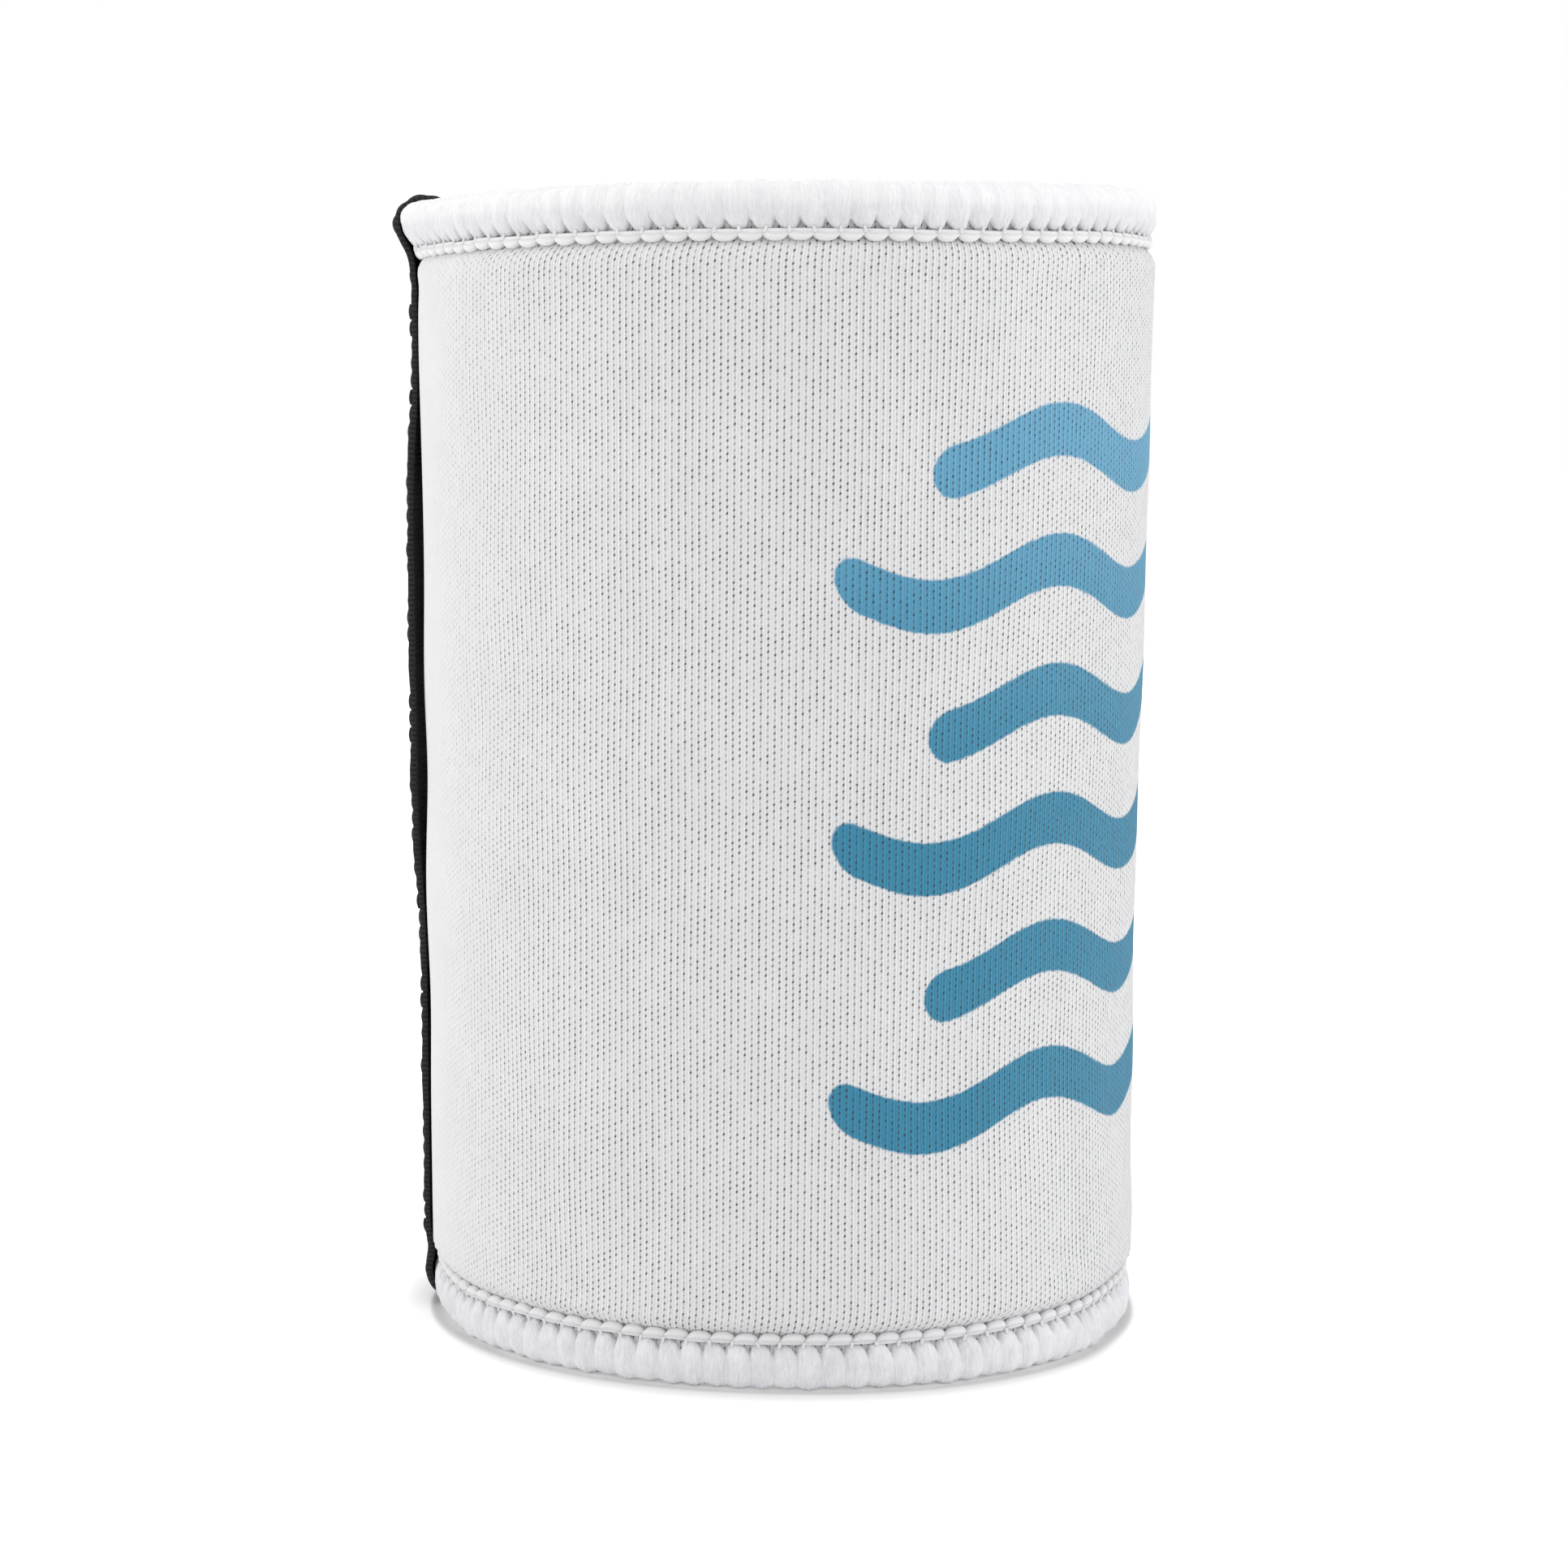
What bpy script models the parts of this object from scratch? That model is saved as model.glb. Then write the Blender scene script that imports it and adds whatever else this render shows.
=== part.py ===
"""Can cooler sleeve: a rolled foam sheet with overlocked hems, a taped butt seam and a glued base.

The origin is the middle of the footprint, +Z is up, the front faces -Y and the seam lies at +Y.
"""

import math

import bmesh
import bpy

# Sheet and pocket, in metres
CAN_RADIUS = 0.0330
CAN_EASE = 0.0010
WALL_THICKNESS = 0.0050
HEIGHT = 0.1217
TAPER = 0.0126  # radius gained for each metre of height
SEAM_GAP = 0.0004  # between the two butted edges of the sheet
FIT_GAP = 0.0003  # between pieces that touch

# Hems: a squeezed edge wrapped in thread, the same at the rim and at the foot
STITCH_COUNT = 98
STITCH_DEPTH = 0.0046  # from the hem's edge to the stitch line
BEAD_THICKNESS = 0.0058
BEAD_SETBACK = 0.0001  # of the bead's face behind the wall's face
OUTER_GROOVE = 0.00075  # depth of the stitch line behind the wall's face
INNER_GROOVE = 0.0003
THREAD_THICKNESS = 0.0007
LOBE_DEPTH = 0.0003  # of the valley between two wraps
FOOT_WIDTH = 0.0024  # flat tread of the bottom hem
PUCKER = 0.0024  # height over which the wall swells back to its full thickness

# Chain of purl loops that lies along each stitch line
CHAIN_HEIGHT = 0.0013
CHAIN_THICKNESS = 0.0009
CHAIN_SETBACK = 0.00045  # of the chain's face behind the wall's face
CHAIN_NECK = 0.45  # size of a loop's ends as a share of its middle

# Base disc, glued inside the bottom hem
BASE_THICKNESS = 0.0050
BASE_RECESS = 0.0012

# Tape that covers the seam and turns over the rim and under the foot
TAPE_WIDTH = 0.0220
TAPE_THICKNESS = 0.0007
TAPE_TAIL = 0.0080  # inside the rim
BOW_DEPTH = 0.0008  # how far the tape stands off in the middle of the wall
BOW_FOOT = 0.036  # from the bottom stitch line to the start of the bow
BOW_HEAD = 0.012  # from the end of the bow to the top stitch line
BOW_RAMP = 0.016

# The tape's pull at the seam: the rim dips and flares, and the foot lifts over the tape
RIM_DIP = 0.0012
RIM_FLARE = 0.0022
FLARE_REACH = 0.0095  # from the rim down to the start of the flare
FLOOR_CLEARANCE = 0.00005
LIFT_HEIGHT = 0.016
PULL_FADE = math.radians(24)  # beside the tape

SEAM_ANGLE = math.radians(90)
COLUMNS_PER_STITCH = 2
STITCHES_PER_WALL_COLUMN = 2
TAPE_COLUMNS = 4
TAPE_ROWS = 8

MID_RADIUS = CAN_RADIUS + CAN_EASE + WALL_THICKNESS
BEAD_CENTRE = -BEAD_SETBACK - BEAD_THICKNESS / 2
CHAIN_LINE = STITCH_DEPTH + FIT_GAP + CHAIN_HEIGHT / 2
CHAIN_END = CHAIN_LINE + CHAIN_HEIGHT / 2
FOOT_LIFT = FIT_GAP + TAPE_THICKNESS + FLOOR_CLEARANCE
AXIS_Y = -(RIM_FLARE + FIT_GAP + TAPE_THICKNESS) / 2  # the tube's axis, in front of the origin


def smooth(value, start, end):
    """0 before start, 1 after end and an S-curve between them."""
    share = min(max((value - start) / (end - start), 0), 1)
    return share * share * (3 - 2 * share)


def wall_face(height):
    """Radius of the wall's outer face."""
    return MID_RADIUS + TAPER * (height - HEIGHT / 2)


def place(angle, radius, height):
    """Position of a point of the round sleeve once the tape has pulled the seam's side."""
    from_seam = abs((angle - SEAM_ANGLE + math.pi) % math.tau - math.pi)
    dip = RIM_DIP * (0.5 + 0.5 * math.cos(from_seam)) ** 2 * height / HEIGHT
    taped = TAPE_WIDTH / 2 / MID_RADIUS
    pull = 1 - smooth(from_seam, taped, taped + PULL_FADE)
    lift = FOOT_LIFT * pull * (1 - smooth(height, 0, LIFT_HEIGHT))
    radius += RIM_FLARE * pull * smooth(height, HEIGHT - FLARE_REACH, HEIGHT)
    return radius * math.cos(angle), AXIS_Y + radius * math.sin(angle), height - dip + lift


def at_rim(points):
    """Radius and height of points given as (offset from the wall's face, depth from the edge)."""
    return [(wall_face(HEIGHT - depth) + offset, HEIGHT - depth) for offset, depth in points]


def at_foot(points):
    return [(wall_face(depth) + offset, depth) for offset, depth in points]


def around_edge(inset, degrees):
    """Points round the bead's half circle, from its outer side at 0 to its inner side at 180."""
    radius = BEAD_THICKNESS / 2 - inset
    turns = [math.radians(turn) for turn in degrees]
    return [
        (BEAD_CENTRE + radius * math.cos(turn), BEAD_THICKNESS / 2 - radius * math.sin(turn))
        for turn in turns
    ]


def groove_points(inset):
    """The stitch line outside and inside the wall, inset into the thread."""
    outer = (-OUTER_GROOVE - inset, STITCH_DEPTH)
    inner = (-WALL_THICKNESS + INNER_GROOVE + inset, STITCH_DEPTH)
    return outer, inner


def open_ring(intervals):
    """Angles from one butted edge of the sheet round to the other."""
    half_gap = SEAM_GAP / 2 / MID_RADIUS
    start, turn = SEAM_ANGLE + half_gap, math.tau - 2 * half_gap
    return [start + turn * i / intervals for i in range(intervals + 1)]


def stitch_angles():
    return open_ring(STITCH_COUNT * COLUMNS_PER_STITCH)


def swept_body(name, angles, sections, colour, roughness):
    """One closed body through a section at each angle, with both ends capped."""
    mesh = bmesh.new()
    rings = [
        [mesh.verts.new(place(angle, radius, height)) for radius, height in section]
        for angle, section in zip(angles, sections)
    ]
    for ring, after in zip(rings, rings[1:]):
        for i in range(len(ring)):
            mesh.faces.new((ring[i - 1], ring[i], after[i], after[i - 1]))
    mesh.faces.new(rings[0])
    mesh.faces.new(rings[-1])
    return finished(name, mesh, colour, roughness)


def finished(name, mesh, colour, roughness):
    """Scene object of a mesh, shaded smooth, with its own material."""
    bmesh.ops.recalc_face_normals(mesh, faces=mesh.faces)
    data = bpy.data.meshes.new(name)
    mesh.to_mesh(data)
    mesh.free()
    data.shade_smooth()
    data.set_sharp_from_angle(angle=math.radians(40))
    material = bpy.data.materials.new(name)
    material.use_nodes = True
    shader = material.node_tree.nodes["Principled BSDF"]
    shader.inputs["Base Color"].default_value = (*colour, 1)
    shader.inputs["Roughness"].default_value = roughness
    shader.inputs["Metallic"].default_value = 0
    data.materials.append(material)
    body = bpy.data.objects.new(name, data)
    bpy.context.scene.collection.objects.link(body)
    return body


def squeezed_edge():
    """The sheet's edge, drawn to a point by its thread; the wall swells again past the chain."""
    outer_groove, inner_groove = groove_points(LOBE_DEPTH + FIT_GAP)
    bed = min(outer_groove[0], -CHAIN_SETBACK - CHAIN_THICKNESS - FIT_GAP)
    outer_swell = (0, CHAIN_END + PUCKER)
    inner_swell = (-WALL_THICKNESS, STITCH_DEPTH + PUCKER)
    edge = around_edge(THREAD_THICKNESS + FIT_GAP, (15, 90, 165))
    chain_bed = [(bed, CHAIN_END), (bed, STITCH_DEPTH)]
    return [outer_swell, *chain_bed, *edge, inner_groove, inner_swell]


def wall():
    """The foam sheet, rolled into a tapered tube, with a slit where its edges meet."""
    section = at_foot(squeezed_edge()[::-1]) + at_rim(squeezed_edge())
    angles = open_ring(STITCH_COUNT // STITCHES_PER_WALL_COLUMN)
    return swept_body("wall", angles, [section] * len(angles), (0.66, 0.66, 0.67), 0.9)


def wrap_section(side, face, valley):
    """Section of the wraps: their face and their back, which meet at the needle's holes."""
    sunk = LOBE_DEPTH if valley else 0
    outer, inner = groove_points(sunk)
    back = around_edge(THREAD_THICKNESS, (165, 90, 15))
    return side([outer, *face(sunk), inner, *back])


def round_face(sunk):
    return around_edge(sunk, (15, 70, 110, 165))


def tread_face(sunk):
    """The foot: round sides that end in a flat tread, where the valleys are pressed flat too."""
    half = FOOT_WIDTH / 2
    side, *_, inner_side = around_edge(sunk, (15, 165))
    return [side, (BEAD_CENTRE + half, 0), (BEAD_CENTRE - half, 0), inner_side]


def hem_wraps(name, side, face):
    """Thread wrapped over a hem: one lobe for each stitch."""
    angles = stitch_angles()
    sections = [
        wrap_section(side, face, valley=i % COLUMNS_PER_STITCH == 0) for i in range(len(angles))
    ]
    return swept_body(name, angles, sections, (0.80, 0.80, 0.81), 0.85)


def chain_section(side, neck):
    """Section of the chain: flat on the wall, and smaller at the ends of each loop."""
    share = CHAIN_NECK if neck else 1
    back = -CHAIN_SETBACK - CHAIN_THICKNESS
    top = CHAIN_LINE - CHAIN_HEIGHT / 2
    return side(
        [
            (back, top),
            (back + CHAIN_THICKNESS * share, top + CHAIN_HEIGHT * share / 2),
            (back, top + CHAIN_HEIGHT * share),
        ]
    )


def hem_chain(name, side):
    """Loops along a stitch line, each one centred under the valley between two wraps."""
    angles = stitch_angles()
    sections = [chain_section(side, neck=i % COLUMNS_PER_STITCH == 1) for i in range(len(angles))]
    return swept_body(name, angles, sections, (0.82, 0.82, 0.83), 0.8)


def base_edge(height):
    """Radius of the base: narrow between the bead's inner sides and wider above them."""
    at_bead = BEAD_CENTRE - BEAD_THICKNESS / 2
    freed = min(max((height - BEAD_THICKNESS / 2) / (STITCH_DEPTH - BEAD_THICKNESS / 2), 0), 1)
    return wall_face(height) + at_bead + (-WALL_THICKNESS - at_bead) * freed - FIT_GAP


def base_disc():
    """Round base, squeezed by the bottom hem; its edge follows the lifted foot at the seam."""
    low, high = BASE_RECESS, BASE_RECESS + BASE_THICKNESS
    bends = [z for z in (BEAD_THICKNESS / 2, STITCH_DEPTH) if low < z < high]
    columns = STITCH_COUNT // STITCHES_PER_WALL_COLUMN
    angles = [SEAM_ANGLE + math.tau * i / columns for i in range(columns)]
    mesh = bmesh.new()
    loops = [
        [mesh.verts.new(place(angle, base_edge(z), z)) for angle in angles]
        for z in (low, *bends, high)
    ]
    for loop, above in zip(loops, loops[1:]):
        for i in range(columns):
            mesh.faces.new((loop[i - 1], loop[i], above[i], above[i - 1]))
    for loop, height in ((loops[0], low), (loops[-1], high)):
        centre = mesh.verts.new((0, AXIS_Y, height))
        for i in range(columns):
            mesh.faces.new((loop[i - 1], loop[i], centre))
    return finished("base_disc", mesh, (0.02, 0.02, 0.022), 0.9)


def bow(height):
    """How far the tape stands off the wall."""
    start, end = STITCH_DEPTH + BOW_FOOT, HEIGHT - STITCH_DEPTH - BOW_HEAD
    rise = smooth(height, start, start + BOW_RAMP)
    return BOW_DEPTH * rise * (1 - smooth(height, end - BOW_RAMP, end))


def tape_back():
    """The tape's back face, from its end under the foot, up the wall and over the rim."""
    over_chain = (FIT_GAP - CHAIN_SETBACK, CHAIN_LINE)
    over_wall = (FIT_GAP, CHAIN_END + PUCKER)
    half = FOOT_WIDTH / 2
    tread = [(BEAD_CENTRE - half, -FIT_GAP), (BEAD_CENTRE + half, -FIT_GAP)]
    foot = tread + around_edge(-FIT_GAP, (60, 30, 0)) + [over_chain, over_wall]
    rim = [over_wall, over_chain] + around_edge(-FIT_GAP, range(0, 181, 30))
    rim.append((-WALL_THICKNESS - FIT_GAP, TAPE_TAIL))
    low, high = CHAIN_END + PUCKER, HEIGHT - CHAIN_END - PUCKER
    heights = [low + (high - low) * i / TAPE_ROWS for i in range(1, TAPE_ROWS)]
    middle = [(wall_face(z) + FIT_GAP + bow(z), z) for z in heights]
    return at_foot(foot) + middle + at_rim(rim)


def beside(path, distance):
    """A path of (radius, height) moved to its right by a distance."""
    moved = []
    for i, (radius, height) in enumerate(path):
        before, after = path[max(i - 1, 0)], path[min(i + 1, len(path) - 1)]
        run, rise = after[0] - before[0], after[1] - before[1]
        length = math.hypot(run, rise)
        moved.append((radius + distance * rise / length, height - distance * run / length))
    return moved


def seam_tape():
    """Woven tape over the butted seam."""
    back = tape_back()
    section = back + beside(back, TAPE_THICKNESS)[::-1]
    half_angle = TAPE_WIDTH / 2 / MID_RADIUS
    angles = [
        SEAM_ANGLE + half_angle * (2 * i / TAPE_COLUMNS - 1) for i in range(TAPE_COLUMNS + 1)
    ]
    return swept_body("seam_tape", angles, [section] * len(angles), (0.02, 0.02, 0.021), 0.8)


def main():
    for old in list(bpy.data.objects):
        bpy.data.objects.remove(old, do_unlink=True)
    wall()
    base_disc()
    hem_wraps("top_hem_wraps", at_rim, round_face)
    hem_wraps("bottom_hem_wraps", at_foot, tread_face)
    hem_chain("top_hem_chain", at_rim)
    hem_chain("bottom_hem_chain", at_foot)
    seam_tape()


main()
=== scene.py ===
"""Can cooler sleeve, dressed: knitted wall, woolly hems, loop chains, seam tape, base, light and camera.

Lengths are in metres and angles in radians, and a knit's own map is in millimetres.
"""

import math

import bpy
import numpy as np
from mathutils import Matrix, Vector


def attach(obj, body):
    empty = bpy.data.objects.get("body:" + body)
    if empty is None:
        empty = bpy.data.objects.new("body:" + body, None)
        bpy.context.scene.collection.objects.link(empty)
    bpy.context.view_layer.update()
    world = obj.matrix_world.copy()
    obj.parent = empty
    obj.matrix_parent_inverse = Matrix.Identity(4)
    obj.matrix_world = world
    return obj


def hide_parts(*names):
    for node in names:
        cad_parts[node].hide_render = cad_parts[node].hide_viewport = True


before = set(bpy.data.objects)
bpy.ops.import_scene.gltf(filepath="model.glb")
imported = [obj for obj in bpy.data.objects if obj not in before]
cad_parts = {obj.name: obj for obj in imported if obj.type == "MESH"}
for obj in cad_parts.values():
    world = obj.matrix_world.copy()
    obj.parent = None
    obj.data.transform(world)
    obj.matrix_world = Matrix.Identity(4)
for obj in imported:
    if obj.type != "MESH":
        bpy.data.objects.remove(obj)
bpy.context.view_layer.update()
MM = 0.001

# Sheet and hems, as in the CAD
CAN_RADIUS = 0.0330
CAN_EASE = 0.0010
WALL_THICKNESS = 0.0050
HEIGHT = 0.1217
TAPER = 0.0126
SEAM_GAP = 0.0004
FIT_GAP = 0.0003
STITCH_COUNT = 98
STITCH_DEPTH = 0.0046
BEAD_THICKNESS = 0.0058
BEAD_SETBACK = 0.0001
OUTER_GROOVE = 0.00075
INNER_GROOVE = 0.0003
THREAD_THICKNESS = 0.0007
FOOT_WIDTH = 0.0024
CHAIN_HEIGHT = 0.0013
CHAIN_THICKNESS = 0.0009
CHAIN_SETBACK = 0.00045

# Base, tape and the tape's pull, as in the CAD
BASE_THICKNESS = 0.0050
BASE_RECESS = 0.0012
TAPE_WIDTH = 0.0220
TAPE_THICKNESS = 0.0007
TAPE_TAIL = 0.0080
BOW_DEPTH = 0.0008
BOW_FOOT = 0.036
BOW_HEAD = 0.012
BOW_RAMP = 0.016
RIM_DIP = 0.0012
RIM_FLARE = 0.0022
FLARE_REACH = 0.0095
FLOOR_CLEARANCE = 0.00005
LIFT_HEIGHT = 0.016
PULL_FADE = math.radians(24)
SEAM_ANGLE = math.radians(90)

MID_RADIUS = CAN_RADIUS + CAN_EASE + WALL_THICKNESS
BEAD_RADIUS = BEAD_THICKNESS / 2
BEAD_CENTRE = -BEAD_SETBACK - BEAD_RADIUS
CHAIN_TOP = STITCH_DEPTH + FIT_GAP
CHAIN_LINE = CHAIN_TOP + CHAIN_HEIGHT / 2
FOOT_LIFT = FIT_GAP + TAPE_THICKNESS + FLOOR_CLEARANCE
AXIS_Y = -(RIM_FLARE + FIT_GAP + TAPE_THICKNESS) / 2

# The dressed shape: the rim's rise opposite the seam and the foot's swell on either side of the front
FRONT_RISE = 0.0007
FRONT_RISE_START = math.radians(120)
FRONT_RISE_END = math.radians(178)
FOOT_SWELL = 0.0016
SWELL_START = 0.0  # as cosines of the angle from the front
SWELL_FULL = 0.9
SWELL_DROP = 0.5  # share of the swell that is lost at the front itself
SWELL_REACH = 0.036

# The dressed wall
WALL_COLUMNS = STITCH_COUNT * 5
WALL_ROWS = 128
LINING_ROWS = 34
ROW_CROWDING = 0.35  # how far the wall's rows crowd toward the hems
RIM_TUCK_DEPTH = 0.0014  # of the wall's face under the chain, behind the full face
FOOT_TUCK_DEPTH = 0.0013
RIM_TUCK_START = 0.0058
FOOT_TUCK_START = 0.0060
RIM_TUCK_REACH = 0.0023
FOOT_TUCK_REACH = 0.0012
TUCK_CURVE = 2.2
GROOVE_REACH = 0.0024  # of the lining's dip beside the wraps
PUCKER_DEPTH = 0.00011
PUCKER_FADE = 0.0025
PUCKER_LENGTH = 0.011  # of the stretches in which the puckers are deeper or flatter
SAG_DEPTH = 0.00013
SAG_LENGTH = 0.021
SAG_FADE = 0.006
WALE_LEAN = 0.7  # millimetres that the knit leans over on its way to a stitch line
LEAN_REACH = 0.0045

# The dressed hems
WRAP_COLUMNS = STITCH_COUNT * 16
OUTER_STEPS = 15
RING_STEPS = 18
INNER_STEPS = 8
HIDDEN_START = 15  # degrees round the bead that the wraps' hidden back covers
HIDDEN_END = 165
WRAP_OVERRUN = 0.00035  # of the wraps' ends past the stitch line, under the chain
CREASE_DEPTH = 0.0011
CREST_CREASE = 0.00003
RIM_CREASE_FADE = 0.0010  # how far from the stitch line a crease stays deep
FOOT_CREASE_FADE = 0.0013
CREASE_CURVE = 1.4
CREASE_WIDTH = 0.075  # as shares of a stitch
RIM_CREASE_FLARE = 0.09
FOOT_CREASE_FLARE = 0.08
CREASE_FLARE_FADE = 0.0004
RIM_CROWN = 0.00016  # of each wrap's middle above its sides
FOOT_CROWN = 0.00020
LEAN = 0.0004  # how far a wrap leans on its way from the stitch line to the crest
LEAN_FADE = 0.0010
FOOT_SHIFT = 0.1  # of the foot's creases past the middles of the loops, as a share of a stitch
FIBRES_PER_WRAP = 4
FIBRE_RIDGE = 0.00004
FIBRE_WANDER = 0.35
FIBRE_LENGTH = 0.0022
PLUMP_RISE = 0.00004
LUMP_RISE = 0.00006
LUMP_LENGTH = 0.0045
RIM_FULLNESS = 3.0  # exponents of the beads' outlines, where 2 is round
FOOT_FULLNESS = 3.6

# The dressed chains, whose loops are blunt at both ends
LOOP_STEPS = 15
LOOP_SIDES = 12
LOOP_REACH = 0.575  # half a loop's length, as a share of a stitch
LOOP_UNEVEN = 0.03
LOOP_BLUNTNESS = 2.4
LOOP_ROUNDNESS = 0.55
LOOP_END = 0.15  # of a loop's full height, at its ends
LOOP_END_DEPTH = 0.25
LOOP_TALL = 0.97  # of the CAD's chain height
LOOP_DEEP = 1.15  # of the CAD's chain thickness
LOOP_RAISE = 0.00010
LOOP_WANDER = 0.00004
LOOP_TILT = 0.00006
LOOP_TUCK = 0.00010
LOOP_SLANT = 0.00020  # of a loop's far side along the stitch line
LOOP_GIRTH = 3.6  # in the map's millimetres

# The needle threads between the loops
TIE_STEPS = 7
TIE_SIDES = 8
TIE_RADIUS = 0.00021
TIE_TAPER = 0.3
TIE_LEAN = 0.00018
TIE_START = 0.0003
TIE_LENGTH = 0.00070
TIE_SETBACK = 0.00062
TIE_SINK = 0.00012

# The dressed tape and its stitches
TAPE_STEPS = 460
TAPE_COLUMNS = 45
TAPE_SETTLE = 0.0024  # past the chain, where the tape lies on the wall again
TAPE_STITCH = 0.00185
TAPE_MARGIN = 0.0011
PINCH_DEPTH = 0.00012
SEAM_LINE_WIDTH = 0.0005
EDGE_RIPPLE = 0.00006
EDGE_RIPPLE_LENGTH = 0.006
FACE_RIPPLE = 0.00009
FACE_RIPPLE_LENGTH = 0.008
EDGE_CURL = 0.00010
STITCHES_START = 0.0055
STITCHES_END = 0.0008
STITCH_STEPS = 9
STITCH_SIDES = 8
STITCH_INSET = 0.06  # of a stitch, to the hole that the thread comes out of
STITCH_RADIUS = 0.00016
STITCH_THIN = 0.6
STITCH_SINK = 0.00022
STITCH_ARCH = 0.00011
STITCH_UNEVEN = 0.00007

# The dressed base
BASE_GAP = 0.00006  # between the base's upper edge and the lining
BASE_SOFTNESS = 0.0009
FILL_START = 0.0002  # above the stitch line, where the base widens to the lining
FILL_END = 0.0007
PAD_STEPS = 22
PAD_HUB = 0.02
PAD_CROWDING = 0.8

# The knit, in millimetres
WALE = 0.69
COURSE = 0.65
HOLE_WIDTH = 0.060
HOLE_LENGTH = 0.090
HOLE_SLANT = 0.3
HOLE_LEAST = 0.3
HOLE_VARIATION = 0.8
HOLE_LINK = 0.16  # how dark the knit is between the holes of a column
LINK_VARIATION = 0.4
HOLES_OPEN = 46.0  # how far from the seam the holes are fully open
LEG_PLACE = 0.155
LEG_BULGE = 0.03
LEG_WIDTH = 0.05
FURROW_WIDTH = 0.05

# The print: a stack of wavy bands on the front, in millimetres
PRINT_FRONT = math.radians(270)
BAND_COUNT = 6
BAND_WIDTH = 5.4
BAND_SPACING = 13.2
BAND_LOW = 29.0
BAND_LENGTH = 88.0
BAND_STAGGER = 5.0
BAND_WANDER = 0.35
BAND_BLUR = 0.16
WAVE_LENGTH = 31.0
WAVE_RISE = 2.1
PRINT_FADE = (56.0, 102.0)  # heights between which the lower tone turns into the upper one
PRINT_TOP_TONE = (0.137, 0.400, 0.608)
PRINT_FOOT_TONE = (0.035, 0.247, 0.402)
# Shares toward black and white that give the print's blue painted shade in the furrows and a painted
# highlight on the legs
PRINT_SHADE_SHARE = 0.10
PRINT_HIGHLIGHT_SHARE = 0.03

# Tones in shade and in light
KNIT_TONES = ((0.67, 0.67, 0.68), (0.925, 0.925, 0.93))
FOAM_TONE = (0.035, 0.035, 0.04)
LINING_TONES = ((0.013, 0.013, 0.014), (0.030, 0.030, 0.032))
LINING_HOLE_TONE = (0.005, 0.005, 0.006)
TAPE_TONES = ((0.005, 0.005, 0.006), (0.030, 0.030, 0.032))
RIM_TONES = ((0.69, 0.69, 0.72), (0.78, 0.78, 0.795))
# The foot's tones are a darker, bluer copy of the rim's: painted shade near the floor
FOOT_SHADED_TONES = ((0.655, 0.655, 0.695), (0.775, 0.775, 0.785))
# The crest tone is a painted highlight: the rim's wraps pale toward it over their crest, where the light
# from above falls
CREST_HIGHLIGHT_TONE = (0.93, 0.93, 0.93)
CREST_HIGHLIGHT_START = 2.3  # millimetres along a wrap
CREST_HIGHLIGHT_END = 3.5
RIM_CREST_HIGHLIGHT = 0.35
RIM_LOOP_TONE = (0.80, 0.80, 0.805)
# A darker copy of the loop thread's tone: painted shade for the foot's loops and the needle ties
SHADED_LOOP_TONE = (0.76, 0.76, 0.77)
STITCH_TONE = (0.03, 0.03, 0.031)
PLY_SHADE = 0.88

# The threads' grains, in cells for each millimetre across and along, and their repeats in millimetres
STRAND_GRAIN = (4.5, 0.55)
FIBRE_GRAIN = (11.0, 1.3)
PLY_LENGTH = 0.42
PLY_SLANT = 0.8
RIB_LENGTH = 0.55
YARN_LENGTH = 0.4

# The photograph's camera
CAMERA_TURN = math.radians(-79.2)
CAMERA_DISTANCE = 0.39665
CAMERA_ASIDE = 0.00013
CAMERA_HEIGHT = 0.1007
CAMERA_TILT = math.radians(6.156)
CAMERA_ROLL = math.radians(0.511)
CAMERA_LENS = 83.26
SENSOR_WIDTH = 36.0
CLIP_START = 0.01

# The floor, whose soft shadow round the foot is partly cast and partly painted: each pair of distances from
# the foot's edge goes with the pair of strengths after it
FLOOR_REACH = 3.0
FLOOR_TONE = (0.94, 0.94, 0.945, 1)
PAINTED_SHADOW_HEADING = CAMERA_TURN  # the side on which the sleeve's soft shadow is widest
PAINTED_SHADOW_FALL = 0.0040
PAINTED_SHADOW_EDGE = 0.0006
# Painted shadow: the floor's tone darkens toward the foot
PAINTED_SHADOW_PLACES = (-0.0002, 0.0008)
PAINTED_SHADOW_TONES = (0.56, 0.70)
# Painted light: the floor glows more just under the foot's curve
UNDER_PLACES = (-0.0014, -0.0002)
UNDER_PAINTED_LIGHT = (0.38, 0.05)
HEADING_PLACES = (0.2, 0.95)  # as cosines of the angle from the shadow's heading
HEADING_SHARES = (0.8, 1.0)
# Painted shadow: the glow stays low near the foot and rises outward
BESIDE_PLACES = (0.05, 1.0)  # in widths of the shadow, as are the next
PAINTED_SHADOW_GLOWS = (0.0, 0.25)
OPEN_PLACES = (1.0, 12.0)
OPEN_GLOWS = (0.0, 0.36)

# The light
WORLD_LIGHT = 0.75
LAMPS = (
    # name, turn from the camera in degrees, distance, height, size, watts, colour
    ("left_softbox", -90, 0.95, 0.20, 0.8, 4.0, (1.0, 0.99, 0.965)),
    ("right_softbox", 88, 0.95, 0.05, 0.8, 5.0, (1.0, 1.0, 1.0)),
    ("front_high", 4, 0.75, 0.85, 0.8, 1.5, (1.0, 1.0, 1.0)),
    ("overhead", 0, 0.12, 1.1, 0.9, 4.0, (1.0, 1.0, 1.0)),
    ("back_softbox", 180, 1.0, 0.30, 0.8, 1.1, (1.0, 1.0, 1.0)),
)


def smooth(value, start, end):
    """0 before start, 1 after end and an S-curve between them."""
    share = np.clip((value - start) / (end - start), 0, 1)
    return share * share * (3 - 2 * share)


def wall_face(height):
    """Radius of the wall's outer face."""
    return MID_RADIUS + TAPER * (height - HEIGHT / 2)


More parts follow.
